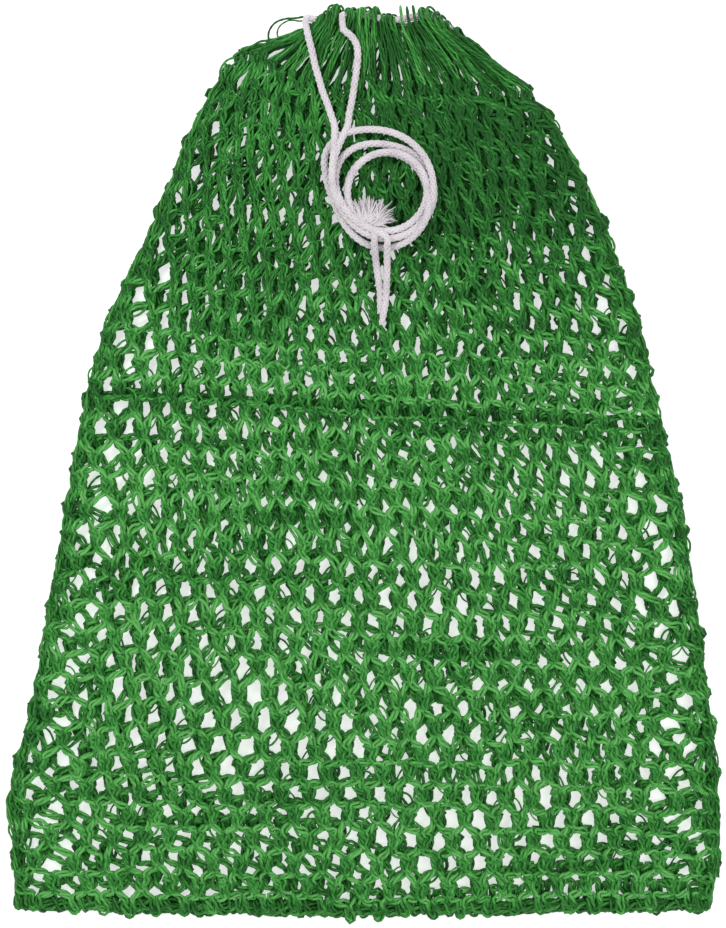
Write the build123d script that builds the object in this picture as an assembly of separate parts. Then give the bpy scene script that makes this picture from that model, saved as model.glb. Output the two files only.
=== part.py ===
from build123d import *
import os
from math import cos, pi, sin, tan

# A drawstring net bag lying flat: two layers of knotted netting, closed at the sides and the bottom,
# gathered at the mouth on a white drawcord whose ends are wound into a coil on the front layer.
# Millimetres. +X to the right, +Y towards the mouth, +Z up. The origin is under the bag's middle.

# Driving dimensions of the bag
BAG_LENGTH = 900.0
LAYER = 5.0            # thickness of one layer of netting, knots included
GAP = 8.0              # room between the layers
FRONT_Z = LAYER + GAP  # underside of the front layer
TOP_Z = FRONT_Z + LAYER
COLUMNS = 25           # meshes across one layer
LOWER_ROWS = 20        # rows of knots below the waist row
UPPER_ROWS = 14        # rows of knots above it
BAR = 3.6              # width of a twine bar
HEM = 8.0              # width of the laced bottom edge
HEM_CLEARANCE = 1.0    # between the hem and the front layer, which turns beside it
WAIST = 8.0            # width of the doubled waist row
WAIST_Y = (66.0, 31.0)  # its height at the left and at the right edge
NET_TOP_Y = 362.0      # where the long mouth loops begin
SIDE = 5.0             # width of a side twine
CLEAR = 0.3            # between pieces of different bodies

# Driving dimensions of the cord
CORD = 7.0
CORD_Z = LAYER + GAP / 2          # height of the cord between the layers
LEG_Z = TOP_Z + CLEAR + CORD / 2  # height of the cord lying on the bag
COIL_CENTRE = (23.0, 265.0)
COIL_INNER = 35.5
COIL_OUTER = 50.5
COIL_HEIGHT = 2 * CORD + CLEAR
NECK_Y = 333.0         # where the legs end and the coil can be lifted

# Outline of the bag, from the bottom up
LEFT_EDGE = [(-348, -450), (-352, -334), (-330, -255), (-312, -155), (-300, -86), (-275, 61),
             (-254, 140), (-215, 219), (-175, 317), (-142, 376)]
RIGHT_EDGE = [(340, -450), (351, -381), (347, -293), (338, -214), (315, -57), (289, 61),
              (272, 140), (243, 219), (211, 297), (164, 370)]

# The long loops: where the outermost two begin and end, and the notch that the right leg leaves by
LOOP_TIPS_X = (-45.0, 104.0)
LOOP_TIP_Y = 450.0
RIGHT_SHOULDER_Y = 420.0   # height of the outermost tip on the right
SHOULDER_FROM_X = 66.0
NOTCH_X = (-27.0, -13.5)
LOOPS_LEFT_OF_NOTCH = 4
LOOP_ROOT = 8.0            # how far the loops are still joined above the netting
LOOP_SLIT = 1.2

# Routes of the cord, each a list of control points
BACK_RUN = [(94.6, 419.4, CORD_Z), (102, 413, CORD_Z), (100, 404.5, CORD_Z), (90, 407.5, CORD_Z),
            (78, 416.5, CORD_Z), (62, 425.5, CORD_Z), (38, 429, CORD_Z), (10, 427.5, CORD_Z),
            (-14, 429, CORD_Z), (-33, 437, CORD_Z)]
FRONT_RUN = [(94, 420, CORD_Z), (82, 428.5, CORD_Z), (64, 436.5, CORD_Z), (38, 438, CORD_Z),
             (10, 437, CORD_Z)]
LEFT_EXIT = [(-33.5, 437.3, CORD_Z), (-46, 443.5, CORD_Z), (-57, 446.3, 12.5), (-58.6, 444, LEG_Z),
             (-56.6, 432, LEG_Z)]
RIGHT_EXIT = [(9.5, 437, CORD_Z), (-5, 437.5, CORD_Z), (-18.5, 440.2, 9.6), (-21.8, 440.5, 18),
              (-20.9, 432, LEG_Z)]
LEFT_LEG = [(-56.5, 431.5, LEG_Z), (-54.3, 418, LEG_Z), (-50.7, 404.8, LEG_Z), (-47.8, 390, LEG_Z),
            (-43.8, 377, LEG_Z), (-40, 363, LEG_Z), (-34.9, 350.7, LEG_Z), (-30, NECK_Y, LEG_Z)]
RIGHT_LEG = [(-20.7, 430.2, LEG_Z), (-19.8, 424, LEG_Z), (-11.5, 418.5, LEG_Z), (-5.8, 409, LEG_Z),
             (-5.4, 394.9, LEG_Z), (-8.4, 374.3, LEG_Z), (-11.3, 354.6, LEG_Z), (-15.5, NECK_Y, LEG_Z)]
LOOSE_TURN = [(31, 314, LEG_Z), (18, 323.5, LEG_Z), (2.5, 328, LEG_Z), (-13, 329, LEG_Z),
              (-27, 325, LEG_Z), (-36.5, 313, LEG_Z), (-39.5, 296, LEG_Z), (-36.3, 275, LEG_Z),
              (-26.5, 255, LEG_Z), (-18.5, 237, LEG_Z), (-7.5, 221.5, LEG_Z), (5.5, 214.5, LEG_Z)]
LEFT_TAIL = [(11, 217, LEG_Z), (11.7, 202, LEG_Z), (14.9, 186, LEG_Z), (14.1, 170, LEG_Z),
             (11.9, 157, LEG_Z), (13.7, 146, LEG_Z)]
RIGHT_TAIL = [(24, 217, LEG_Z), (24.4, 202, LEG_Z), (23.2, 186, LEG_Z), (22.8, 168, LEG_Z),
              (20.6, 151, LEG_Z), (21, 135, LEG_Z)]


def edge_x(edge, y):
    """The x of an outline at height y."""
    for (x0, y0), (x1, y1) in zip(edge, edge[1:]):
        if y <= y1:
            return x0 + (x1 - x0) * (y - y0) / (y1 - y0)
    return edge[-1][0]


NET_BOTTOM_Y = -BAG_LENGTH / 2 + HEM + HEM_CLEARANCE


def lower_point(u, row):
    """A place in the netting below the waist: u from 0 to 1 across, and a row that may be a fraction."""
    share = row / LOWER_ROWS
    waist = WAIST_Y[0] + (WAIST_Y[1] - WAIST_Y[0]) * u - WAIST / 2
    y = NET_BOTTOM_Y + (waist - NET_BOTTOM_Y) * share
    left, right = edge_x(LEFT_EDGE, y), edge_x(RIGHT_EDGE, y)
    return (left + (right - left) * u, y)


def upper_point(u, row):
    """The same above the waist."""
    share = row / UPPER_ROWS
    waist = WAIST_Y[0] + (WAIST_Y[1] - WAIST_Y[0]) * u + WAIST / 2
    y = waist + (NET_TOP_Y - waist) * share
    left, right = edge_x(LEFT_EDGE, y), edge_x(RIGHT_EDGE, y)
    return (left + (right - left) * u, y)


def prism(points, z, height, holes=()):
    """A flat solid from an outline and its holes."""
    face = Face(Wire.make_polygon([(x, y, z) for x, y in points]),
                [Wire.make_polygon([(x, y, z) for x, y in hole]) for hole in holes])
    if face.normal_at().Z < 0:
        face = -face
    return extrude(face, height, dir=(0, 0, 1))


def net_panel(point, rows, z):
    """Diamond netting: a sheet with one hole between each four knots."""
    outline = [point(i / COLUMNS, 0) for i in range(COLUMNS + 1)]
    outline += [point(1, row) for row in range(1, rows + 1)]
    outline += [point(i / COLUMNS, rows) for i in range(COLUMNS - 1, -1, -1)]
    outline += [point(0, row) for row in range(rows - 1, 0, -1)]
    holes = []
    for row in range(1, rows):
        offset = 0.5 * (row % 2)
        for i in range(COLUMNS - (row % 2)):
            u = (i + 0.5 + offset) / COLUMNS
            side = 0.5 / COLUMNS
            corners = [(u + side, row), (u, row + 1), (u - side, row), (u, row - 1)]
            places = [point(*corner) for corner in corners]
            cx = sum(x for x, y in places) / 4
            cy = sum(y for x, y in places) / 4
            half_w = (places[0][0] - places[2][0]) / 2
            half_h = (places[1][1] - places[3][1]) / 2
            slant = (half_w ** 2 + half_h ** 2) ** 0.5
            keep = 1 - BAR / 2 * slant / (half_w * half_h)
            holes.append([(cx + (x - cx) * keep, cy + (y - cy) * keep) for x, y in places])
    return prism(outline, z, LAYER, holes)


def waist_row(z):
    """The doubled row that joins the lower and the upper netting."""
    low = [lower_point(i / COLUMNS, LOWER_ROWS) for i in range(COLUMNS + 1)]
    high = [upper_point(i / COLUMNS, 0) for i in range(COLUMNS, -1, -1)]
    return prism(low + high, z, LAYER)


def tip_y(x):
    """How far the loops reach at x: a level mouth with a falling shoulder on the right."""
    if x <= SHOULDER_FROM_X:
        return LOOP_TIP_Y
    share = (x - SHOULDER_FROM_X) / (LOOP_TIPS_X[1] - SHOULDER_FROM_X)
    return LOOP_TIP_Y + (RIGHT_SHOULDER_Y - LOOP_TIP_Y) * share


def finger_spans(notched):
    """The x of both sides of each loop's tip, from left to right, with or without the right leg's notch."""
    groups = [(LOOP_TIPS_X[0], LOOP_TIPS_X[1], COLUMNS)]
    if notched:
        groups = [(LOOP_TIPS_X[0], NOTCH_X[0], LOOPS_LEFT_OF_NOTCH),
                  (NOTCH_X[1], LOOP_TIPS_X[1], COLUMNS - LOOPS_LEFT_OF_NOTCH)]
    spans = []
    for first, last, count in groups:
        width = (last - first) / count
        spans += [(first + width * i, first + width * (i + 1)) for i in range(count)]
    return spans


def mouth_loops(z, notched):
    """The long gathered loops of the last row: fingers that close up from the netting to the mouth."""
    low = [upper_point(i / COLUMNS, UPPER_ROWS) for i in range(COLUMNS + 1)]
    spans = finger_spans(notched)
    along = LOOP_ROOT / (LOOP_TIP_Y - NET_TOP_Y)
    tips = [spans[0][0]] + [x1 for x0, x1 in spans]
    high = [(x + (tip - x) * along, y + LOOP_ROOT) for (x, y), tip in zip(low, tips)]
    comb = prism(low + high[::-1], z, LAYER)
    half = LOOP_SLIT / 2
    for i, (x0, x1) in enumerate(spans):
        reach = tip_y((x0 + x1) / 2)
        root_left, root_right = low[i], low[i + 1]
        comb += prism([(root_left[0] + half, root_left[1]), (root_right[0] - half, root_right[1]),
                       (x1 - half, reach - half), (x1 - 2 * half, reach), (x0 + 2 * half, reach),
                       (x0 + half, reach - half)], z, LAYER)
    return comb


def side_twine(edge, inward):
    """The twine that closes one side between the layers, from the hem to the mouth."""
    heights = [NET_BOTTOM_Y] + [y for x, y in edge[1:-1]] + [NET_TOP_Y]
    outer = [(edge_x(edge, y), y) for y in heights]
    inner = [(x + inward * SIDE, y) for x, y in reversed(outer)]
    return prism(outer + inner, LAYER, GAP - CLEAR)


def hem():
    """The lacing that closes the bottom, with a lower ledge that carries the back layer and the sides."""
    bottom = -BAG_LENGTH / 2
    left, right = LEFT_EDGE[0][0], RIGHT_EDGE[0][0]
    bar = prism([(left, bottom), (right, bottom), (right, bottom + HEM), (left, bottom + HEM)], 0, TOP_Z)
    ledge = prism([(left, bottom), (right, bottom), (right, NET_BOTTOM_Y), (left, NET_BOTTOM_Y)],
                  0, FRONT_Z - CLEAR)
    return bar + ledge


def cord_tube(name, points):
    """A length of cord: straight runs joined by arcs as large as the runs allow."""
    places = [Vector(*p) for p in points]
    radii = []
    for a, b, c in zip(places, places[1:], places[2:]):
        turn = (b - a).get_angle(c - b)
        radii.append(0.45 * min((b - a).length, (c - b).length) / tan(turn * pi / 360))
    print(name, "radii", [round(r, 1) for r in radii])
    path = FilletPolyline(*points, radius=radii)
    start = Plane(origin=path @ 0, z_dir=path % 0)
    tube = sweep(start * Circle(CORD / 2), path=path)
    section = pi * (CORD / 2) ** 2
    share = tube.volume / (section * path.length)
    print(name, "length", round(path.length, 1), "volume share", round(share, 3))
    return tube


def coil():
    """The wound turns as one closed ring with rounded edges."""
    ring = Cylinder(COIL_OUTER, COIL_HEIGHT) - Cylinder(COIL_INNER, COIL_HEIGHT * 2)
    ring = fillet(ring.edges().filter_by(GeomType.CIRCLE), CORD / 2)
    return Pos(*COIL_CENTRE, TOP_Z + CLEAR + COIL_HEIGHT / 2) * ring


def cord_knot():
    """The binding knot inside the ring, with its frayed tuft as one rounded lump."""
    lump = fillet(Box(34, 28, 12).edges(), 5.0)
    return Pos(6.0, 243.0, TOP_Z + CLEAR + 6) * Rot(0, 0, 35) * lump


os.makedirs("parts", exist_ok=True)
parts = {
    "back_lower_net": net_panel(lower_point, LOWER_ROWS, 0),
    "back_upper_net": net_panel(upper_point, UPPER_ROWS, 0),
    "back_waist_twine": waist_row(0),
    "back_mouth_loops": mouth_loops(0, False),
    "bottom_hem_twine": hem(),
    "left_side_twine": side_twine(LEFT_EDGE, 1),
    "right_side_twine": side_twine(RIGHT_EDGE, -1),
    "drawcord_back_run": cord_tube("back run", BACK_RUN),
    "front_lower_net": net_panel(lower_point, LOWER_ROWS, FRONT_Z),
    "front_upper_net": net_panel(upper_point, UPPER_ROWS, FRONT_Z),
    "front_waist_twine": waist_row(FRONT_Z),
    "front_mouth_loops": mouth_loops(FRONT_Z, True),
    "drawcord_front_run": cord_tube("front run", FRONT_RUN),
    "drawcord_left_exit": cord_tube("left exit", LEFT_EXIT),
    "drawcord_right_exit": cord_tube("right exit", RIGHT_EXIT),
    "drawcord_left_leg": cord_tube("left leg", LEFT_LEG),
    "drawcord_right_leg": cord_tube("right leg", RIGHT_LEG),
    "drawcord_loose_turn": cord_tube("loose turn", LOOSE_TURN),
    "drawcord_coil": coil(),
    "drawcord_knot": cord_knot(),
    "drawcord_left_tail": cord_tube("left tail", LEFT_TAIL),
    "drawcord_right_tail": cord_tube("right tail", RIGHT_TAIL),
}
for name, solid in parts.items():
    export_step(solid, f"parts/{name}.step")
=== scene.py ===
"""A drawstring net bag of knotted green twine, lying flat, with its white drawcord wound into a small coil.

The netting is one flattened tube of diamond meshes. Every row is a zigzag of real twine that passes from
knot to knot, and each knot is tied from the two twines that meet there. Metres, in the frame of the CAD.
"""
import math

import bpy
import numpy as np
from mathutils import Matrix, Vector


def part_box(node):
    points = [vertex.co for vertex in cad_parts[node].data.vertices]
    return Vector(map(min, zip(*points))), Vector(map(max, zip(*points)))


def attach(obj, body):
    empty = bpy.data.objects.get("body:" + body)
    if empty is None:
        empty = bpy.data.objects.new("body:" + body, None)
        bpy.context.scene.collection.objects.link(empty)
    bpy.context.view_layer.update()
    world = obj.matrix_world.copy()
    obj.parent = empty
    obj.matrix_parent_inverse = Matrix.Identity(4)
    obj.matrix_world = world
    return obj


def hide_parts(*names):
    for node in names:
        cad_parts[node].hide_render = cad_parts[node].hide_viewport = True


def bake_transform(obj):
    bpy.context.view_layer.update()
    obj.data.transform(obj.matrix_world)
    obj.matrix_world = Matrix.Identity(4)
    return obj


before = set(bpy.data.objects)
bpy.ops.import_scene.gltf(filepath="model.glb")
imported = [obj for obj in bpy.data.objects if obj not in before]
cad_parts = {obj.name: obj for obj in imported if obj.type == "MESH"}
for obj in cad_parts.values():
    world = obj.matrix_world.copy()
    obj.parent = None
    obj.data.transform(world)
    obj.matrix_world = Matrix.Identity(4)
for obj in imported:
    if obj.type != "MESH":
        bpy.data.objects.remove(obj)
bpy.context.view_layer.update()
random = np.random.default_rng(11)
MM = 0.001

# ---------------------------------------------------------------- places taken from the frame
bag_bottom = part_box("bottom_hem_twine")[0][1]
loops_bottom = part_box("back_mouth_loops")[0][1]
coil_low, coil_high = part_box("drawcord_coil")
leg_low, leg_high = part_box("drawcord_left_leg")
COIL_CENTRE = ((coil_low[0] + coil_high[0]) / 2, (coil_low[1] + coil_high[1]) / 2)
LEG_Z = (leg_low[2] + leg_high[2]) / 2

# ---------------------------------------------------------------- driving sizes, in metres
COLUMNS = 25                                # meshes across one layer
LOWER_ROWS = 20                             # rows of meshes below the waist row
UPPER_ROWS = 14                             # rows of meshes above it
ROWS = LOWER_ROWS + UPPER_ROWS + 2          # rows of knots, counted from the hem
TWINE = 6.7 * MM                            # the netting's twine as it lies, with its loose strands
LOOP_TWINE = 4.6 * MM                       # the same twine pulled straight in the mouth's loops
STRANDS = 3                                 # strands of the twine
SIDES = 6                                   # faces round a strand
RING_STEP = 2.6 * MM                        # from ring to ring along a strand
BACK_Z = 4.9 * MM                           # middle of the back layer
FRONT_Z = 13.1 * MM                         # middle of the front layer
MIDDLE_Z = (BACK_Z + FRONT_Z) / 2
CORD = 7.0 * MM
BOTTOM_Y = bag_bottom + 6.5 * MM            # the lowest row of knots
NET_TOP_Y = loops_bottom + 4 * MM           # the highest
WAIST_Y = (66 * MM, 31 * MM)                # height of the waist row at the left and at the right edge
WAIST = 15 * MM                             # width of the waist row
INSET = 5 * MM                              # from the outline in to the middle of the outermost knots

# Outline of the bag, from the bottom up
LEFT_EDGE = np.array([(-343, -450), (-344, -391), (-351, -334), (-330, -255), (-312, -155), (-300, -86),
                      (-275, 61), (-254, 140), (-215, 219), (-175, 317), (-142, 376), (-134, 396),
                      (-107, 416)]) * MM
RIGHT_EDGE = np.array([(340, -450), (351, -381), (347, -293), (338, -214), (315, -57), (289, 61),
                       (272, 140), (243, 219), (211, 297), (164, 370)]) * MM


# ---------------------------------------------------------------- small helpers
def smooth_noise(x, y, cell, seed):
    """Smooth random numbers from -1 to 1 over the plane, with features about one cell wide."""
    table = np.random.default_rng(seed).uniform(-1, 1, (64, 64))
    gx, gy = np.asarray(x) / cell + 32, np.asarray(y) / cell + 32
    ix, iy = np.floor(gx).astype(int), np.floor(gy).astype(int)
    fx, fy = gx - ix, gy - iy
    fx, fy = fx * fx * (3 - 2 * fx), fy * fy * (3 - 2 * fy)
    ix, iy = ix % 63, iy % 63
    low = table[ix, iy] * (1 - fx) + table[ix + 1, iy] * fx
    high = table[ix, iy + 1] * (1 - fx) + table[ix + 1, iy + 1] * fx
    return low * (1 - fy) + high * fy


def smoothstep(t):
    t = np.clip(t, 0, 1)
    return t * t * (3 - 2 * t)


def catmull(points, closed, step):
    """Points along a smooth curve through the given ones, about one step apart."""
    p = np.asarray(points, float)
    if closed:
        p = np.vstack([p[-1:], p, p[:2]])
    else:
        p = np.vstack([2 * p[:1] - p[1:2], p, 2 * p[-1:] - p[-2:-1]])
    a, b, c, d = p[:-3], p[1:-2], p[2:-1], p[3:]
    count = np.maximum(1, np.round(np.linalg.norm(c - b, axis=1) / step)).astype(int)
    which = np.repeat(np.arange(len(b)), count)
    starts = np.concatenate([[0], np.cumsum(count)[:-1]])
    t = ((np.arange(len(which)) - starts[which]) / count[which])[:, None]
    a, b, c, d = a[which], b[which], c[which], d[which]
    out = 0.5 * (2 * b + (c - a) * t + (2 * a - 5 * b + 4 * c - d) * t ** 2
                 + (3 * b - a - 3 * c + d) * t ** 3)
    return out if closed else np.vstack([out, p[-2:-1]])


def frames(line, closed=False):
    """The two directions across a line at each of its points, and the distance along it."""
    ahead = np.roll(line, -1, 0) - np.roll(line, 1, 0)
    if not closed:
        ahead[0], ahead[-1] = line[1] - line[0], line[-1] - line[-2]
    ahead /= np.maximum(np.linalg.norm(ahead, axis=1), 1e-12)[:, None]
    side = np.cross(ahead, (0.08, 0.05, 1.0))
    side /= np.maximum(np.linalg.norm(side, axis=1), 1e-12)[:, None]
    along = np.concatenate([[0], np.cumsum(np.linalg.norm(np.diff(line, axis=0), axis=1))])
    return side, np.cross(side, ahead), along


class Tubes:
    """Collects many tubes of twine and makes one mesh from them."""

    def __init__(self):
        self.verts, self.faces, self.uvs, self.shades, self.ends = [], [], [], [], []
        self.count = 0

    def add(self, line, radius, closed=False, sides=SIDES, lobes=3, depth=0.13, pitch=13 * MM, phase=0.0,
            tone=0.0):
        """One tube along a line. Its section has lobes that turn with the lay of the strands."""
        line = np.asarray(line)
        n = len(line)
        side, up, along = frames(line, closed)
        angle = np.arange(sides) / sides * 2 * math.pi
        twist = along / pitch * 2 * math.pi + phase
        radius = np.broadcast_to(np.asarray(radius, float), n)
        lobe = 1 + depth * np.cos(lobes * (angle[None, :] - twist[:, None]))
        r = radius[:, None] * lobe
        ring = (line[:, None, :] + side[:, None, :] * (r * np.cos(angle))[:, :, None]
                + up[:, None, :] * (r * np.sin(angle))[:, :, None])
        self.verts.append(ring.reshape(-1, 3))
        rows = n if closed else n - 1
        i = np.arange(rows)[:, None]
        j = np.arange(sides)[None, :]
        i2, j2 = (i + 1) % n, (j + 1) % sides
        quads = np.stack([i * sides + j, i * sides + j2, i2 * sides + j2, i2 * sides + j], -1)
        self.faces.append(quads.reshape(-1, 4) + self.count)
        reach = np.append(along[1:], along[-1] + np.linalg.norm(line[0] - line[-1]))
        u0 = np.broadcast_to(along[:rows, None], (rows, sides))
        u1 = np.broadcast_to(reach[:rows, None], (rows, sides))
        v0 = np.broadcast_to(j / sides, (rows, sides))
        v1 = np.broadcast_to((j + 1) / sides, (rows, sides))
        uv = np.stack([np.stack([u0, v0], -1), np.stack([u0, v1], -1),
                       np.stack([u1, v1], -1), np.stack([u1, v0], -1)], 2)
        self.uvs.append(uv.reshape(-1, 2))
        # How deep in the lay each point lies: the material paints shade in the grooves between the strands.
        groove_shade = (lobe - 1) / max(depth, 1e-6) * 0.5 + 0.5
        shade = np.broadcast_to(np.asarray(tone, float).reshape(-1, 1), (n, sides))
        self.shades.append(np.stack([groove_shade, shade], -1).reshape(-1, 2))
        if not closed:
            first = np.arange(sides)
            last = first + (n - 1) * sides
            self.ends.append((ring[0].mean(0), self.count + first[::-1]))
            self.ends.append((ring[-1].mean(0), self.count + last))
        self.count += n * sides

    def make(self, name, material):
        """The mesh object of everything added so far, with a fan over each open end."""
        verts = np.vstack(self.verts + [middle for middle, ring in self.ends])
        shades = np.vstack(self.shades + [np.full((len(self.ends), 2), 0.5)])
        quads = np.vstack(self.faces)
        fans = [np.stack([ring, np.roll(ring, -1), np.full(len(ring), self.count + k)], -1)
                for k, (middle, ring) in enumerate(self.ends)]
        corners = np.concatenate([quads.ravel()] + [fan.ravel() for fan in fans])
        sizes = np.concatenate([np.full(len(quads), 4), np.full(sum(len(fan) for fan in fans), 3)])
        starts = np.concatenate([[0], np.cumsum(sizes)[:-1]])
        uv = np.zeros((len(corners), 2), np.float32)
        uv[:len(quads) * 4] = np.vstack(self.uvs)
        mesh = bpy.data.meshes.new(name)
        mesh.vertices.add(len(verts))
        mesh.vertices.foreach_set("co", verts.astype(np.float32).ravel())
        mesh.loops.add(len(corners))
        mesh.loops.foreach_set("vertex_index", corners.astype(np.int32))
        mesh.polygons.add(len(sizes))
        mesh.polygons.foreach_set("loop_start", starts.astype(np.int32))
        mesh.polygons.foreach_set("loop_total", sizes.astype(np.int32))
        mesh.uv_layers.new(name="Twine").data.foreach_set("uv", uv.ravel())
        for k, label in enumerate(("groove_shade", "tone")):
            attribute = mesh.attributes.new(label, "FLOAT", "POINT")
            attribute.data.foreach_set("value", shades[:, k].astype(np.float32))
        mesh.update(calc_edges=True)
        mesh.validate()
        mesh.polygons.foreach_set("use_smooth", np.full(len(mesh.polygons), True))
        mesh.materials.append(material)
        obj = bpy.data.objects.new(name, mesh)
        bpy.context.scene.collection.objects.link(obj)
        return obj


def bundle(tubes, line, radius, closed=False, tone=0.0, pitch=46 * MM, loose=1.0):
    """A twine of a few loosely laid strands: each wanders round the line and now and then stands off it."""
    line = np.asarray(line)
    side, up, along = frames(line, closed)
    turns = max(1, round(along[-1] / pitch))
    seam = np.clip(np.minimum(along, along[-1] - along) / (25 * MM), 0, 1) if closed else np.ones(len(line))
    start = random.uniform(0, 6.28)
    place = along / MM + random.uniform(0, 900)
    for k in range(STRANDS):
        wander = smooth_noise(place, 7.3 * k, 16.0, 201) * seam
        apart = np.clip(smooth_noise(place, 11.1 * k + 3, 13.0, 203) - 0.25, 0, 1) * seam
        thick = 1 + 0.16 * smooth_noise(place, 5.7 * k + 1, 9.0, 205) * seam
        angle = start + 2 * math.pi * (k / STRANDS + turns * along / max(along[-1], 1e-6)) + 1.1 * wander
        reach = radius * (0.53 + 0.95 * loose * apart)
        shift = side * (reach * 1.15 * np.cos(angle))[:, None]
        middle = line + shift + up * (reach * 0.7 * np.sin(angle))[:, None]
        middle[:, 2] = np.maximum(middle[:, 2], radius * 0.5)
        # Painted light and shade: a strand is lighter where it lies on top of the twine and darker where it
        # lies under; wander and the random part are tone that differs at random.
        shade = tone + 0.20 * wander + 0.18 * np.sin(angle) + random.normal(0, 0.08)
        tubes.add(middle, radius * 0.49 * thick, closed=closed, lobes=2, depth=0.07,
                  phase=random.uniform(0, 6), tone=shade)


# ---------------------------------------------------------------- materials
def node(tree, kind, **values):
    n = tree.nodes.new(kind)
    for key, value in values.items():
        setattr(n, key, value)
    return n


def noise(tree, vector, scale, detail):
    texture = node(tree, "ShaderNodeTexNoise")
    texture.inputs["Scale"].default_value = scale
    texture.inputs["Detail"].default_value = detail
    tree.links.new(vector, texture.inputs["Vector"])
    return texture


def weighted(tree, value, weight, added):
    """The sum of a weighted value and another value, which may be a plain number."""
    total = node(tree, "ShaderNodeMath", operation="MULTIPLY_ADD")
    tree.links.new(value, total.inputs[0])
    total.inputs[1].default_value = weight
    if isinstance(added, float):
        total.inputs[2].default_value = added
    else:
        tree.links.new(added, total.inputs[2])
    return total.outputs[0]


def fibre_material(name, dark, mid, light, roughness, sheen, fibre_scale, gloss):
    """Twisted fibre: painted shade between the strands, with streaks along the lay and slow changes of
    colour.
    """
    material = bpy.data.materials.new(name)
    material.use_nodes = True
    tree = material.node_tree
    shader = tree.nodes["Principled BSDF"]
    link = tree.links.new
    stretch = node(tree, "ShaderNodeMapping")
    stretch.inputs["Scale"].default_value = fibre_scale
    link(node(tree, "ShaderNodeUVMap", uv_map="Twine").outputs["UV"], stretch.inputs["Vector"])
    fibres = noise(tree, stretch.outputs["Vector"], 1.0, 4.0)
    fibres.inputs["Roughness"].default_value = 0.65
    slow = noise(tree, node(tree, "ShaderNodeTexCoord").outputs["Object"], 38.0, 3.0)
    groove_shade = node(tree, "ShaderNodeAttribute", attribute_name="groove_shade")
    tone = node(tree, "ShaderNodeAttribute", attribute_name="tone")
    shade = weighted(tree, fibres.outputs["Fac"], 0.9, -0.45)
    # Painted shade in the grooves between the strands; the tone attribute adds the painted shade and the
    # random tone given to each tube.
    shade = weighted(tree, groove_shade.outputs["Fac"], 0.42, shade)
    shade = weighted(tree, slow.outputs["Fac"], 0.8, shade)
    shade = weighted(tree, tone.outputs["Fac"], 1.0, shade)
    ramp = node(tree, "ShaderNodeValToRGB")
    ramp.color_ramp.elements[0].position = 0.12
    ramp.color_ramp.elements[0].color = (*dark, 1)
    ramp.color_ramp.elements[1].position = 1.0
    ramp.color_ramp.elements[1].color = (*light, 1)
    ramp.color_ramp.elements.new(0.55).color = (*mid, 1)
    link(shade, ramp.inputs["Fac"])
    link(ramp.outputs["Color"], shader.inputs["Base Color"])
    rough = node(tree, "ShaderNodeMapRange")
    rough.inputs["To Min"].default_value = roughness - 0.1
    rough.inputs["To Max"].default_value = roughness + 0.12
    link(fibres.outputs["Fac"], rough.inputs["Value"])
    link(rough.outputs["Result"], shader.inputs["Roughness"])
    shader.inputs["Sheen Weight"].default_value = sheen
    shader.inputs["Sheen Roughness"].default_value = 0.4
    shader.inputs["Specular IOR Level"].default_value = gloss
    lift = node(tree, "ShaderNodeBump")
    lift.inputs["Strength"].default_value = 0.5
    lift.inputs["Distance"].default_value = 0.4 * MM
    link(fibres.outputs["Fac"], lift.inputs["Height"])
    link(lift.outputs["Normal"], shader.inputs["Normal"])
    return material


NET_FIBRE = fibre_material("net_twine_fibre", (0.011, 0.104, 0.013), (0.042, 0.278, 0.040),
                           (0.135, 0.490, 0.115), 0.55, 0.0, (160, 9, 1), 0.25)
# A darker copy of the netting's twine, painted shade for the hem, the side twines and the stray loop.
SHADED_TWINE_FIBRE = fibre_material("shaded_twine_fibre", (0.006, 0.060, 0.007), (0.021, 0.170, 0.020),
                            (0.080, 0.350, 0.068), 0.58, 0.0, (160, 9, 1), 0.25)
CORD_FIBRE = fibre_material("cord_fibre", (0.42, 0.37, 0.41), (0.74, 0.69, 0.73), (0.90, 0.87, 0.89),
                            0.72, 0.3, (380, 6, 1), 0.3)


# ---------------------------------------------------------------- the netting as a flattened tube
def edges_at(y):
    left = np.interp(y, LEFT_EDGE[:, 1], LEFT_EDGE[:, 0]) + INSET
    right = np.interp(y, RIGHT_EDGE[:, 1], RIGHT_EDGE[:, 0]) - INSET
    return left, right


def bottom_y(u):
    """The bottom edge bows: its two corners lie a little higher than its middle."""
    return BOTTOM_Y + 3 * MM + 6 * MM * (2 * u - 1) ** 2


def row_height(row, u):
    """The y of a row of knots at u from 0 to 1 across: the rows lean as the waist row does."""
    waist = WAIST_Y[0] + (WAIST_Y[1] - WAIST_Y[0]) * u
    if row <= LOWER_ROWS:
        share = (row / LOWER_ROWS) ** 1.06
        return bottom_y(u) + (waist - WAIST / 2 - bottom_y(u)) * share
    share = (row - LOWER_ROWS - 1) / UPPER_ROWS
    top = NET_TOP_Y + 33 * MM * (1 - smoothstep(u / 0.32))
    return waist + WAIST / 2 + (top - waist - WAIST / 2) * share


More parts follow.
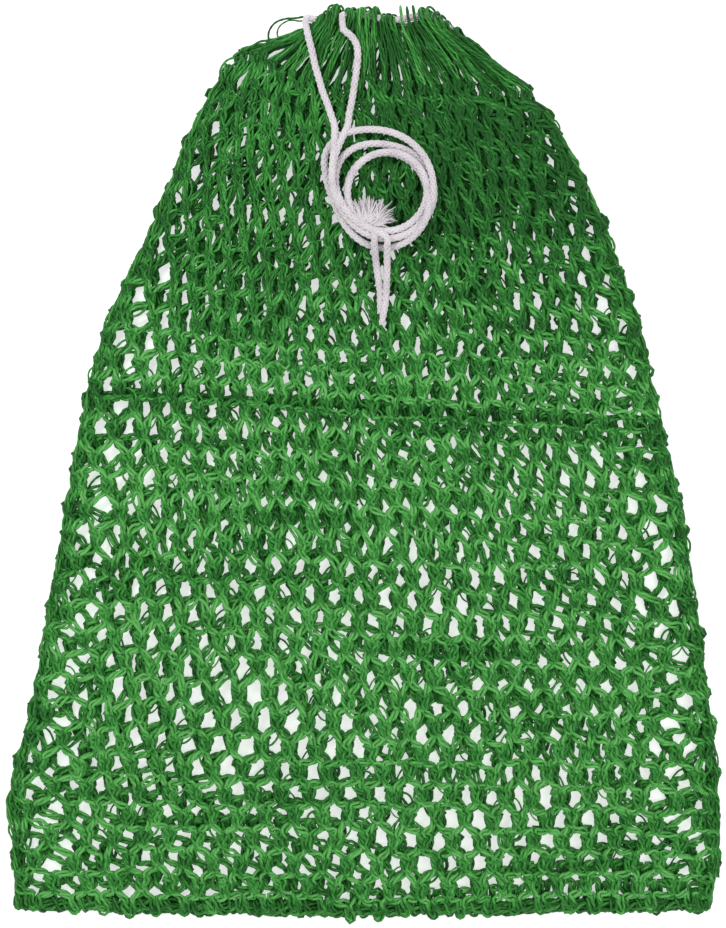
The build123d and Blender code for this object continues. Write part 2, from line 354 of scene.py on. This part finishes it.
def on_tube(row, s):
    """The netting's place at column s round the tube, and its outward sign: 1 in front, -1 at the back.

    The columns next to each side are drawn out to it, and the back layer lies out of register with the front.
    """
    s = s % (2 * COLUMNS)
    front = s <= COLUMNS
    u = s / COLUMNS if front else (2 * COLUMNS - s) / COLUMNS
    y = row_height(row, u)
    seed = 0 if front else 40
    edge = min(s, abs(s - COLUMNS), 2 * COLUMNS - s)
    free = min(edge / 1.5, 1.0)
    if edge < 2:
        drawn_out = (0, 0.13, 0.58, 1.26, 1.94) if front else (0, 0.16, 0.82, 1.52, 2.0)
        pulled = np.interp(edge, (0, 0.5, 1, 1.5, 2), drawn_out) / COLUMNS
        u = pulled if u < 0.5 else 1 - pulled
    y += MM * (4.0 * smooth_noise(u * 9, row, 2.4, 3 + seed) + 3.6 * smooth_noise(u * 25, row, 1.0, 5 + seed))
    left, right = edges_at(y)
    x = left + (right - left) * u
    x += MM * free * 3.4 * smooth_noise(u * 9, row, 2.0, 7 + seed)
    x += MM * free * 1.8 * smooth_noise(u * 25, row, 1.1, 9 + seed)
    if not front:
        slip = 1 - 0.7 * smoothstep((row - ROWS + 7) / 6)
        x += MM * free * slip * (9.0 * smooth_noise(u * 5, row * 0.3, 1.0, 21) + 5.0)
        y += MM * slip * (8.0 * smooth_noise(u * 5, row * 0.3, 1.0, 23) + 8.0) * min(edge / 0.5, 1)
    if edge < 0.3:
        x += MM * 2.2 * (1 if u > 0.5 else -1) * smooth_noise(row, 0.0, 1.0, 31)
    z = MIDDLE_Z + ((FRONT_Z if front else BACK_Z) - MIDDLE_Z) * min(edge / 0.5, 1)
    return np.array([x, y, z]), (1.0 if front else -1.0)


# A sheet bend, in millimetres round its own middle: the hanging bight, and the twine tied round its neck
BIGHT = np.array([(-2.5, 5.4, -0.3), (-3.3, 1.4, 0.5), (-2.6, -2.6, 0.4), (0.0, -4.5, 0.2),
                  (2.6, -2.6, -0.2), (3.3, 1.4, -0.5), (2.5, 5.4, 0.2)])
WRAP = np.array([(-2.7, -5.8, -0.5), (-1.7, -2.8, -2.1), (-0.7, 0.6, -0.3), (-2.6, 3.0, 2.1),
                 (-4.8, 4.0, 0.3), (-2.0, 4.8, -2.2), (2.0, 4.4, -2.3), (4.9, 3.0, 0.1),
                 (3.0, 0.6, 2.3), (0.9, -1.6, 2.5), (1.5, -3.9, 1.2), (2.7, -5.8, 0.2)])


def knot_size(row):
    """Knots are drawn tighter where the netting is gathered."""
    left, right = edges_at(row_height(row, 0.5))
    pitch = (right - left) / COLUMNS
    return 1.22 * (0.58 + 0.42 * pitch / (26 * MM))


def tied(pattern, row, s, size, turn):
    """The points of a knot's pattern in place on the tube: x, y, z and, in the same units, a painted shade.
    """
    place, outward = on_tube(row, s)
    size = size * knot_size(row)
    c, sn = math.cos(turn), math.sin(turn)
    tight = smoothstep((place[1] - 90 * MM) / (160 * MM))
    local = pattern * size * MM * (0.88 - 0.22 * tight, 1.25 - 0.20 * tight, 1.0)
    scatter = np.random.default_rng(int(row * 977 + round(s * 2) % 100 * 31)).normal(0, 1, 2)
    place = place + MM * np.array((0.6 * scatter[0], 3.2 * tight * scatter[1], 0))
    x = local[:, 0] * c - local[:, 1] * sn
    y = local[:, 0] * sn + local[:, 1] * c
    # Painted shade: darker in the knot's middle, where the strands shade each other, a little less where the
    # knots are drawn tight, and darker all over the back layer, which lies in the front layer's shadow; the
    # twine leaving the knot is a little lighter.
    shade = np.where(np.abs(pattern[:, 1]) < 4.3, -0.30 + 0.16 * tight, 0.02) - (0.16 if outward < 0 else 0)
    z = local[:, 2] * outward * 0.7
    return np.stack([place[0] + x * outward, place[1] + y, place[2] + z, shade * MM], -1)


def half_way(a, b):
    """A point near the middle between two others, a little lighter: painted light on the open twine between
    the knots.
    """
    return (a + b) / 2 + random.normal(0, 0.7 * MM, 4) * (1, 1, 0.5, 0) + (0, 0, 0, 0.12 * MM)


def band(row):
    """One row's twine all the way round: a bight at each lower knot, and tied round each upper one."""
    points = []
    for i in range(2 * COLUMNS):
        s = i + 0.5 * (row % 2)
        bight = tied(BIGHT, row, s, random.uniform(0.92, 1.12), random.normal(0, 0.12))
        wrap = tied(WRAP, row + 1, s + 0.5, random.uniform(0.92, 1.12), random.normal(0, 0.12))
        after = tied(BIGHT, row, s + 1, 1.0, 0)[0]
        points += [bight, half_way(bight[-1], wrap[0])[None], wrap, half_way(wrap[-1], after)[None]]
    return np.vstack(points)


def loose_strands(tubes, row):
    """Single strands that have slipped out of the twine and bow across a mesh."""
    for i in range(2 * COLUMNS):
        if random.uniform() > 0.42:
            continue
        s = i + 0.5 * (row % 2)
        a = on_tube(row, s)[0]
        b = on_tube(row + 1, s + random.choice((-0.5, 0.5)))[0]
        across = np.array((b[1] - a[1], a[0] - b[0], 0))
        across /= np.linalg.norm(across)
        bow = random.uniform(4.5, 8.5) * MM * random.choice((-1, 1))
        up = np.array((0, 0, random.uniform(0.5, 2.5) * MM * (1 if a[2] > 9 * MM else -0.3)))
        near = a * 0.7 + b * 0.3 + across * bow + up
        far = a * 0.3 + b * 0.7 + across * bow + up
        line = catmull(np.array([a, near, far, b]), False, 2.6 * MM)
        line[:, 2] = np.maximum(line[:, 2], 2 * MM)
        tubes.add(line, random.uniform(0.8, 1.3) * MM, sides=5, lobes=2, depth=0.1,
                  tone=random.normal(-0.12, 0.12))


def gathered_strands(tubes, row):
    """Single strands that run up the front layer from knot to knot, steep where it is gathered."""
    for i in range(COLUMNS):
        s = i + 0.5 * (row % 2)
        for lean in (-0.5, 0.5):
            a = on_tube(row, s)[0]
            b = on_tube(row + 1, s + lean)[0]
            if not 0.5 < s < COLUMNS - 0.5 or random.uniform() > smoothstep((a[1] - 60 * MM) / (170 * MM)):
                continue
            bow = np.array((random.normal(0, 1.8), 0, random.uniform(2.4, 3.6))) * MM
            near = a * 0.72 + b * 0.28 + bow
            far = a * 0.28 + b * 0.72 + bow
            line = catmull(np.array([a, near, far, b]), False, 3 * MM)
            line[:, 2] = np.minimum(line[:, 2], FRONT_Z + 2.6 * MM)
            # Painted shade, as on the gathered netting: these strands are darker, and more so high up towards
            # the right.
            darker = 0.24 * smoothstep((a[0] + 40 * MM) / (120 * MM))
            darker = darker * smoothstep((a[1] - 150 * MM) / (150 * MM))
            tubes.add(line, random.uniform(0.9, 1.5) * MM, sides=5, lobes=2, depth=0.1,
                      tone=random.normal(-0.30, 0.12) - darker)


def across_layers(obj):
    """The piece's place, baked into its mesh."""
    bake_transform(obj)


def net_piece(name, rows):
    """A few rows of the netting, with painted shade where it is gathered, along the sides, the hem and the
    waist row.
    """
    tubes = Tubes()
    radius = TWINE / 2
    for row in rows:
        line = catmull(band(row), True, RING_STEP)
        line, shade = line[:, :3], line[:, 3] / MM
        line[:, 2] = np.clip(line[:, 2], radius * 0.9, FRONT_Z * 2)
        gathered = smoothstep((line[:, 1] - 60 * MM) / (190 * MM))
        to_right = smoothstep((line[:, 0] + 40 * MM) / (120 * MM))
        size = radius * (1 - 0.12 * gathered * (1 - to_right) + 0.14 * gathered * to_right)
        left, right = edges_at(line[:, 1])
        rim_shade = np.exp(-np.maximum(np.minimum(line[:, 0] - left, right - line[:, 0]), 0) / (7 * MM))
        low = np.exp(-np.maximum(line[:, 1] - BOTTOM_Y, 0) / (9 * MM))
        high = smoothstep((line[:, 1] - 150 * MM) / (150 * MM))
        waist_y = np.interp(line[:, 0], (left.min(), right.max()), WAIST_Y)
        waist = np.exp(-((line[:, 1] - waist_y) / (9 * MM)) ** 2)
        # Painted shade: darker where the netting is gathered, more so high up towards the right, and darker
        # along the outline, at the hem and along the waist row, where the twine lies bunched; the 0.09
        # lightens all the netting evenly.
        shade = shade + 0.09 - 0.31 * gathered - high * (0.07 + 0.30 * to_right)
        shade = shade - 0.26 * rim_shade - 0.24 * low - 0.22 * waist
        bundle(tubes, line, size, closed=True, tone=shade)
        if row > 0:
            loose_strands(tubes, row)
        if row < ROWS - 2:
            gathered_strands(tubes, row)
    obj = tubes.make(name, NET_FIBRE)
    across_layers(obj)
    return obj


def hem():
    """The bottom edge: four twines through the last bights, laced round, with a lump at each end."""
    tubes = Tubes()
    left, right = edges_at(BOTTOM_Y)
    x = np.arange(left + 4 * MM, right - 3 * MM, 3 * MM)
    middle = MIDDLE_Z - 1 * MM
    for k, (dy, dz) in enumerate(((-1.5, 4.2), (1.5, -4.0), (-3.5, -0.5), (4.0, 1.5))):
        dy = dy + 2.4 * smooth_noise(x / MM, k * 3.0, 24.0, 71) + 1.4 * smooth_noise(x / MM, k * 5.0, 9.0, 73)
        y = bottom_y((x - left) / (right - left)) + MM * dy
        z = middle + MM * (dz + 1.6 * smooth_noise(x / MM, k * 7.0, 12.0, 75))
        # Painted shade: the hem's twines are darker still than the shaded copy of the twine they are drawn
        # with.
        bundle(tubes, np.stack([x, y, z], -1), TWINE / 2, tone=-0.18)
    turns = int((right - left) / (12.5 * MM))
    t = np.linspace(0, turns * 2 * math.pi, turns * 16)
    x = np.interp(t, (0, t[-1]), (left + 6 * MM, right - 5 * MM)) + 2.2 * MM * np.sin(t * 0.53)
    size = 1 + 0.3 * smooth_noise(t, 0.0, 5.0, 77)
    dy = 1.0 + 6.4 * size * np.cos(t) + 2.0 * smooth_noise(x / MM, 0.0, 24.0, 71)
    y = bottom_y((x - left) / (right - left)) + MM * dy
    z = middle + 5.6 * MM * size * np.sin(t)
    bundle(tubes, np.stack([x, y, np.maximum(z, 2.6 * MM)], -1), TWINE / 2 * 0.85, pitch=70 * MM, tone=-0.14)
    ends = ((left + 6 * MM, bottom_y(0) + 2 * MM, 0.9), (right - 7 * MM, bottom_y(1) + 3 * MM, 1.4))
    for x, y, size in ends:
        t = np.linspace(0, 2 * math.pi * 5, 90)
        lump = np.stack([x + size * 7 * MM * np.cos(t) * np.cos(t * 0.23), y + size * 7 * MM * np.sin(t),
                         middle + size * 5 * MM * np.cos(t) * np.sin(t * 0.23)], -1)
        bundle(tubes, lump, TWINE / 2 * 0.85, tone=-0.16)
    obj = tubes.make("hem_lacing", SHADED_TWINE_FIBRE)
    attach(obj, "net_back")
    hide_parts("bottom_hem_twine")


def side_twine(name, edge, inward, target):
    """The two twines along one folded side, running through the outermost knots up to the mouth."""
    tubes = Tubes()
    y = np.arange(BOTTOM_Y + 4 * MM, edge[-1, 1] - 22 * MM, 2.6 * MM)
    x = np.interp(y, edge[:, 1], edge[:, 0])
    for k, (inset, lift) in enumerate(((1.6, 2.4), (4.6, -2.4))):
        aside = inset + 1.8 * smooth_noise(y / MM, k * 4.0, 14.0, 81)
        above = lift + 1.6 * smooth_noise(y / MM, k * 6.0, 11.0, 83)
        line = np.stack([x + inward * MM * aside, y, MIDDLE_Z + MM * above], -1)
        bundle(tubes, line, TWINE / 2 * 0.72)
    obj = tubes.make(name, SHADED_TWINE_FIBRE)
    across_layers(obj)
    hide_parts(target)


def build_net():
    """The whole netting, two rows of knots to a piece, which stands for all six sheets of the CAD."""
    for first in range(0, ROWS - 1, 2):
        net_piece(f"netting_rows_{first:02d}", range(first, min(first + 2, ROWS - 1)))
    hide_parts("back_lower_net", "back_upper_net", "back_waist_twine", "front_lower_net",
                "front_upper_net", "front_waist_twine")


# ---------------------------------------------------------------- camera and light
def camera():
    """Straight down over the bag, from far enough to look flat."""
    seen_height = 912.8 * MM
    distance = 2.6
    data = bpy.data.cameras.new("camera")
    data.sensor_fit = "VERTICAL"
    data.sensor_height = 24.0
    data.lens = data.sensor_height * distance / seen_height
    obj = bpy.data.objects.new("camera", data)
    bpy.context.scene.collection.objects.link(obj)
    obj.location = (-0.5 * MM, -1.5 * MM, distance + 15 * MM)
    bpy.context.scene.camera = obj


def lights():
    """A pale world with a key light from the upper left and a softer one from the right."""
    world = bpy.data.worlds.new("world")
    world.use_nodes = True
    world.node_tree.nodes["Background"].inputs["Color"].default_value = (1, 1, 1, 1)
    world.node_tree.nodes["Background"].inputs["Strength"].default_value = 0.75
    bpy.context.scene.world = world
    for name, place, size, power in (("key", (-0.9, 1.1, 1.9), 1.0, 34), ("fill", (1.3, -0.6, 2.2), 1.6, 16)):
        data = bpy.data.lights.new(name, "AREA")
        data.size = size
        data.energy = power
        obj = bpy.data.objects.new(name, data)
        obj.location = place
        x, y, z = place
        obj.rotation_euler = (math.acos(z / math.hypot(x, y, z)), 0, math.atan2(-x, y))
        bpy.context.scene.collection.objects.link(obj)
    bpy.context.scene.view_settings.view_transform = "Standard"


def floor():
    """A pale floor that glows a little, so that it shows white round the bag."""
    material = bpy.data.materials.new("floor")
    material.use_nodes = True
    shader = material.node_tree.nodes["Principled BSDF"]
    shader.inputs["Base Color"].default_value = (0.93, 0.93, 0.93, 1)
    shader.inputs["Roughness"].default_value = 0.9
    shader.inputs["Emission Color"].default_value = (1.0, 1.0, 1.0, 1)
    shader.inputs["Emission Strength"].default_value = 0.55
    mesh = bpy.data.meshes.new("floor")
    half = 4.0
    corners = [(-half, -half, 0), (half, -half, 0), (half, half, 0), (-half, half, 0)]
    mesh.from_pydata(corners, [], [(0, 1, 2, 3)])
    mesh.materials.append(material)
    obj = bpy.data.objects.new("floor", mesh)
    obj.location.z = -0.3 * MM
    bpy.context.scene.collection.objects.link(obj)


# ---------------------------------------------------------------- the long loops of the mouth
# The loops' outer ends on the cord, left to right in millimetres: bunched, with three thin ones apart
TIPS = np.array([(-53, 434), (-46, 439), (-40, 443), (-36, 446), (-32, 449), (-28, 451), (-25, 450),
                 (-15, 447), (-10, 449), (-5, 448), (0, 449), (6, 448), (12, 446), (19, 442), (24, 443),
                 (30, 442), (38, 451), (44.5, 450), (51, 452), (59, 448), (65, 450), (72, 445), (79, 441),
                 (86, 436), (92, 430)]) * MM
THIN = (16, 17, 18)
HOOK = CORD / 2 + LOOP_TWINE / 2


def run_y(x):
    """How high the drawcord lies in the loops."""
    x = np.asarray(x, float)
    held = np.array([i not in THIN for i in range(len(TIPS))])
    xs, ys = TIPS[held, 0], TIPS[held, 1] - HOOK - 1.5 * MM
    return sum(np.interp(x + d * MM, xs, ys) for d in (-8, -4, 0, 4, 8)) / 5


def hairpin(x, y, top, front, gap, foot):
    """A loop's tip round the cord: in above it, round its far side, back below it, leaning to its knots."""
    way = 1 if front else -1
    z = 9 * MM + way * 2.8 * MM
    r = HOOK
    shape = np.array([(-gap, -20 * MM, way * 4.5 * MM), (-gap, -5 * MM, way * r),
                      (-gap * 0.9, (top - y) * 0.6, way * r * 0.8), (0, top - y, 0),
                      (gap * 0.9, (top - y) * 0.6, -way * r * 0.7), (gap, -1 * MM, -way * r * 0.9),
                      (gap, -8 * MM, -way * r * 0.4), (gap, -18 * MM, way * 2.2 * MM)])
    lean = np.clip(math.atan2(foot[0] - x, y - foot[1]) * 0.85, -1.15, 1.15)
    lean = lean * np.interp(shape[:, 1], (-18 * MM, 2 * MM), (1, 0.35))
    dx = shape[:, 0] * np.cos(lean) - shape[:, 1] * np.sin(lean)
    dy = shape[:, 0] * np.sin(lean) + shape[:, 1] * np.cos(lean)
    return np.stack([x + dx, y + dy, z + shape[:, 2]], -1)


def mouth_band(columns, name):
    """The last row's twine over some of the columns: from knot to tip to knot."""
    tubes = Tubes()
    row = ROWS - 1
    for i in columns:
        s = i + 0.5 * (row % 2)
        front = i < COLUMNS
        at = i if front else 2 * COLUMNS - 1 - i
        thin = front and at in THIN
        x = TIPS[at, 0] + random.normal(0, 0.7 * MM) + (0 if front else 1.5 * MM)
        y = float(run_y(x)) + (0 if front else -6 * MM)
        high = y + HOOK if at in THIN and not front else TIPS[at, 1]
        top = high - LOOP_TWINE / 2 + random.normal(0, 1.2 * MM) - (0 if front else 5 * MM)
        gap = (0.7 if thin else 2.2) * MM
        a = tied(BIGHT, row, s, 1.0, random.normal(0, 0.1))[:, :3]
        b = tied(BIGHT, row, s + 1, 1.0, random.normal(0, 0.1))[:, :3]
        tip = hairpin(x, y, top, front, gap if front else -gap, (a[-1] + b[0]) / 2)
        half_a = a[-1] * 0.55 + tip[0] * 0.45 + random.normal(0, 1.2 * MM, 3) * (1, 1, 0.4)
        half_b = b[0] * 0.55 + tip[-1] * 0.45 + random.normal(0, 1.2 * MM, 3) * (1, 1, 0.4)
        line = catmull(np.vstack([a[3:], half_a[None], tip, half_b[None], b[:4]]), False, RING_STEP)
        high_up = np.clip((line[:, 1] - y + 12 * MM) / (12 * MM), 0, 1)
        radius = LOOP_TWINE / 2 * (1 - 0.55 * high_up if thin else random.uniform(0.9, 1.1) + 0.12 * high_up)
        line[:, 2] = np.clip(line[:, 2], radius, 20 * MM)
        # Painted shade: the loops are darker, like the gathered netting below them.
        bundle(tubes, line, radius, loose=0.4 if thin else 1.3, pitch=90 * MM,
               tone=random.normal(-0.41, 0.14))
    obj = tubes.make(name, NET_FIBRE)
    return obj


def stray_loop():
    """The thin dark loop of twine that stands out beyond the left shoulder."""
    tubes = Tubes()
    outer = [(-84, 408, 10), (-92, 414, 11), (-93.5, 423, 12), (-88, 432, 13), (-78, 436.5, 13),
             (-66, 437.5, 13), (-54, 439.5, 13), (-44, 437.5, 13), (-36, 436, 12)]
    inner = [(-80, 412, 11), (-85, 422, 12), (-82, 430, 13), (-73, 435, 14), (-62, 434.5, 13),
             (-52, 436, 12.5), (-42, 436, 12)]
    for points, radius in ((outer, 1.1), (inner, 0.8)):
        line = catmull(np.array(points) * MM, False, 2 * MM)
        tubes.add(line, radius * MM, sides=7, lobes=2, depth=0.1, tone=-0.25)
    obj = tubes.make("stray_loop", SHADED_TWINE_FIBRE)
    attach(obj, "net_front")


# ---------------------------------------------------------------- the drawcord
def in_metres(points):
    return [tuple(np.array(point) * MM) for point in points]


def spline_line(name, points, step):
    """Points along the cord's own smooth line, a NURBS spline through the route."""
    curve = bpy.data.curves.new(name, "CURVE")
    curve.dimensions = "3D"
    curve.resolution_u = 8
    spline = curve.splines.new("NURBS")
    spline.points.add(len(points) - 1)
    for point, place in zip(spline.points, points):
        point.co = (*place, 1)
    spline.order_u = 3
    spline.use_endpoint_u = True
    holder = bpy.data.objects.new(name, curve)
    bpy.context.scene.collection.objects.link(holder)
    mesh = bpy.data.meshes.new_from_object(holder)
    line = np.empty(len(mesh.vertices) * 3)
    mesh.vertices.foreach_get("co", line)
    bpy.data.objects.remove(holder)
    bpy.data.curves.remove(curve)
    bpy.data.meshes.remove(mesh)
    line = line.reshape(-1, 3)
    along = np.concatenate([[0], np.cumsum(np.linalg.norm(np.diff(line, axis=0), axis=1))])
    at = np.linspace(0, along[-1], max(2, int(along[-1] / step)))
    return np.stack([np.interp(at, along, line[:, k]) for k in range(3)], -1)


def braid_strands(line, diameter=CORD, taper=0.0):
    """Eight strands, four each way, over and under each other: the middle, radius and tone of each.

    Over the length of the taper, the cord thins to four fifths at both ends.
    """
    side, up, along = frames(line)
    pitch = 3.4 * diameter
    shrink = np.ones(len(line))
    if taper:
        shrink = 0.8 + 0.2 * np.clip(np.minimum(along, along[-1] - along) / taper, 0, 1)
    strands = []
    for k in range(8):
        way = 1 if k % 2 else -1
        angle = 2 * math.pi * (k // 2) / 4 + way * 2 * math.pi * along / pitch
        weave = 0.045 * diameter * way * np.cos(4 * 2 * math.pi * along / pitch)
        r = (0.31 * diameter + weave) * shrink
        middle = line + side * (r * np.cos(angle))[:, None] + up * (r * np.sin(angle))[:, None]
        strands.append((middle, 0.19 * diameter * shrink, random.normal(0, 0.05)))
    return strands


def braid(tubes, strands, part=slice(None)):
    """Adds the strands of a braid, or one part of their length."""
    for middle, radius, tone in strands:
        tubes.add(middle[part], radius[part], sides=7, lobes=1, depth=0.0, tone=tone)


def held_cord():
    """The stretch inside the loops: front run, turn at the right end, back run and rise at the left.

    Each end runs on inside its leg, so that the cord stays whole when the legs are pulled.
    """
    front_z, back_z = 11.8 * MM, 6.2 * MM
    right_exit = [(-20.1, 422.5, 21.8), (-20.7, 430.2, 21.8), (-21.0, 435.5, 21.6), (-21.2, 440, 18),
                  (-16, 441, 13)]
    left_exit = [(-36, 433, 8), (-44, 434, 12), (-51.5, 436.5, 18), (-56, 437, 21.3), (-57.3, 433.5, 21.8),
                 (-56.5, 429, 21.8), (-54.4, 417.5, 21.8)]
    end_y = float(run_y(80 * MM))
    points = in_metres(right_exit)
    points += [(x * MM, float(run_y(x * MM)), front_z) for x in range(-6, 75, 10)]
    points += [(82 * MM, end_y - 2 * MM, 10.5 * MM), (87 * MM, end_y - 8 * MM, MIDDLE_Z)]
    points += [(82 * MM, end_y - 12 * MM, back_z)]
    points += [(x * MM, float(run_y(x * MM)) - 7 * MM, back_z) for x in range(72, -35, -10)]
    points += in_metres(left_exit)
    line = spline_line("held", points, 1.7 * MM)
    strands = braid_strands(line, taper=24 * MM)
    far = int(np.argmax(line[:, 0]))
    turn = int(np.argmax(line[:, 0] > 79 * MM))
    back = far + int(np.argmax(line[far:, 0] < 79 * MM))
    rise = back + int(np.argmax(line[back:, 0] < -33 * MM))
    pieces = []
    for name, first, last in (("held_front_run", 0, turn), ("held_right_turn", turn, back),
                              ("held_back_run", back, rise), ("held_left_rise", rise, len(line) - 1)):
        tubes = Tubes()
        braid(tubes, strands, slice(first, last + 1))
        pieces.append(tubes.make(name, CORD_FIBRE))
    front_run, right_turn, back_run, left_rise = pieces
    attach(front_run, "net_front")
    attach(back_run, "net_back")
    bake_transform(right_turn)
    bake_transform(left_rise)
    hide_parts("drawcord_front_run", "drawcord_right_exit")
    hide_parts("drawcord_back_run")
    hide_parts("drawcord_left_exit")


LOW, HIGH, OVER = LEG_Z / MM, LEG_Z / MM + 7, LEG_Z / MM + 14

# Each cord winds anticlockwise round the coil's middle: angle in degrees, radius and height in millimetres
LEFT_TURNS = [(128, 83, LOW), (137, 71, OVER - 3), (147, 63, OVER), (165, 57.5, OVER), (190, 50, OVER - 3),
              (215, 46, HIGH), (360, 46, HIGH), (400, 50, HIGH), (440, 57.5, LOW + 2), (468, 65, LOW),
              (490, 74, LOW), (505, 75.5, LOW), (518, 68.5, LOW), (532, 59.5, LOW), (552, 53, LOW),
              (575, 53, LOW),
              (597, 55, LOW), (615, 56, LOW), (635, 55, LOW), (660, 51, HIGH), (690, 46, OVER),
              (715, 40, HIGH), (740, 39.4, LOW), (900, 39.4, LOW), (970, 39.4, LOW + 1)]
RIGHT_TURNS = [(119.5, 76, LOW), (135, 66, HIGH + 2), (148, 59.5, HIGH + 4), (160, 57.5, HIGH + 4),
               (180, 53, HIGH + 3), (205, 48, HIGH),
               (235, 46, LOW), (400, 46.4, LOW), (440, 47, LOW), (462, 50, LOW), (480, 54.5, LOW),
               (496, 57.5, LOW), (512, 56, LOW), (528, 52, LOW + 4), (548, 47, OVER - 2), (570, 43, OVER),
               (600, 40.5, HIGH + 2), (640, 39.4, HIGH), (900, 39.4, HIGH), (978, 39.8, HIGH + 1)]


def wound(turns, jitter):
    """The turns of one cord as points of its route, eighteen to each turn."""
    turns = np.array(turns, float)
    points = []
    for angle in np.arange(turns[0, 0], turns[-1, 0] + 1, 20):
        radius = np.interp(angle, turns[:, 0], turns[:, 1]) + jitter * math.sin(angle * 0.031)
        height = np.interp(angle, turns[:, 0], turns[:, 2])
        a = math.radians(angle)
        points.append((COIL_CENTRE[0] + radius * MM * math.cos(a), COIL_CENTRE[1] + radius * MM * math.sin(a),
                       height * MM))
    return points


LEFT_LEG = [(-57.2, 433.5, 21.8), (-56, 427, 21.8), (-54.3, 418, 21.8), (-50.7, 404.8, 21.8),
            (-47.8, 390, 21.8), (-43.8, 377, 21.8), (-40, 363, 21.8), (-34.9, 350.7, 21.8), (-31, 338, 21.8)]
RIGHT_LEG = [(-20.9, 437, 21.7), (-20.7, 430.2, 21.8), (-19.8, 424, 21.8), (-11.5, 418.5, 21.8),
             (-5.8, 409, 21.8), (-5.4, 394.9, 21.8), (-8.4, 374.3, 21.8), (-11.3, 354.6, 21.8),
             (-14.8, 339, 21.8)]
LEFT_TAIL = [(11, 222, 33), (10.3, 214, 35.5), (11.2, 206, 30), (12.2, 197, 22.5), (13.6, 186, 21.8),
             (16, 173, 21.8), (16.7, 160, 21.8), (16.2, 146, 21.8)]
RIGHT_TAIL = [(24, 221, 36), (23.2, 213, 37), (23.1, 204, 30), (23.2, 195, 23.5), (23.1, 187, 23),
              (22.6, 174, 24), (22, 160, 24.5), (20, 148, 23.5), (17.6, 135, 21.8)]


def free_cord(name, leg, turns, tail, nodes, jitter):
    """One end of the drawcord: its leg, its turns in the coil and its tail."""
    points = in_metres(leg) + wound(turns, jitter) + in_metres(tail)
    line = spline_line(name, points, 1.6 * MM)
    tubes = Tubes()
    braid(tubes, braid_strands(line, taper=12 * MM))
    obj = tubes.make(name, CORD_FIBRE)
    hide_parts(*nodes)
    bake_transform(obj)


def tuft():
    """The frayed end inside the coil: a knot of cord under a thick brush of loose fibres that points up."""
    tubes = Tubes()
    centre = np.array((4.5, 236.0, 24.5)) * MM
    angles = np.linspace(0, 2 * math.pi * 2.4, 60)
    for tilt, size in ((0.5, 7.5), (2.1, 6.5)):
        ring = np.stack([np.cos(angles) * size, np.sin(angles) * size * 0.7,
                         np.sin(angles * 1.5) * 2.0], -1) * MM
        c, sn = math.cos(tilt), math.sin(tilt)
        ring = np.stack([ring[:, 0] * c - ring[:, 1] * sn, ring[:, 0] * sn + ring[:, 1] * c, ring[:, 2]], -1)
        braid(tubes, braid_strands(catmull(ring + centre, False, 1.7 * MM), diameter=6.2 * MM))
    for _ in range(1100):
        across = random.uniform(-1, 1)
        start = centre + np.array((across * 11, random.uniform(-5, 4), random.uniform(-2, 5))) * MM
        spread = 1.45 - across * 0.75 + random.normal(0, 0.42)
        tall = 1 - 0.35 * abs(across) + 0.30 * math.sin(across * 9 + 1)
        reach = random.uniform(8, 19) * MM * tall
        way = np.array((math.cos(spread), math.sin(spread), random.uniform(0.0, 0.55)))
        bend = random.normal(0, 2.2 * MM, 3) * (1, 1, 0.4)
        t = np.linspace(0, 1, 6)[:, None]
        line = start + way * reach * t + bend * t ** 2
        line[:, 2] = np.maximum(line[:, 2] - 6 * MM * t[:, 0] ** 2, 19.2 * MM)
        tubes.add(line, np.linspace(1.25, 0.35, 6) * MM, sides=4, lobes=1, depth=0.0,
                  tone=random.normal(0.08, 0.08))
    obj = tubes.make("drawcord_tuft", CORD_FIBRE)
    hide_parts("drawcord_knot")
    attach(obj, "cord_coil")
    return obj


camera()
lights()
floor()
frayed = tuft()
free_cord("drawcord_left", LEFT_LEG, LEFT_TURNS, LEFT_TAIL,
          ("drawcord_left_leg", "drawcord_coil", "drawcord_loose_turn", "drawcord_left_tail"), 0.8)
free_cord("drawcord_right", RIGHT_LEG, RIGHT_TURNS, RIGHT_TAIL,
          ("drawcord_right_leg", "drawcord_right_tail"), -0.7)
held_cord()
build_net()
front_loops = mouth_band(range(COLUMNS), "front_long_loops")
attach(front_loops, "net_front")
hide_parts("front_mouth_loops")
back_loops = mouth_band(range(COLUMNS, 2 * COLUMNS - 1), "back_long_loops")
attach(back_loops, "net_back")
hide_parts("back_mouth_loops")
across_layers(mouth_band([2 * COLUMNS - 1], "side_long_loop"))
hem()
side_twine("left_side", LEFT_EDGE, 1, "left_side_twine")
side_twine("right_side", RIGHT_EDGE, -1, "right_side_twine")
stray_loop()
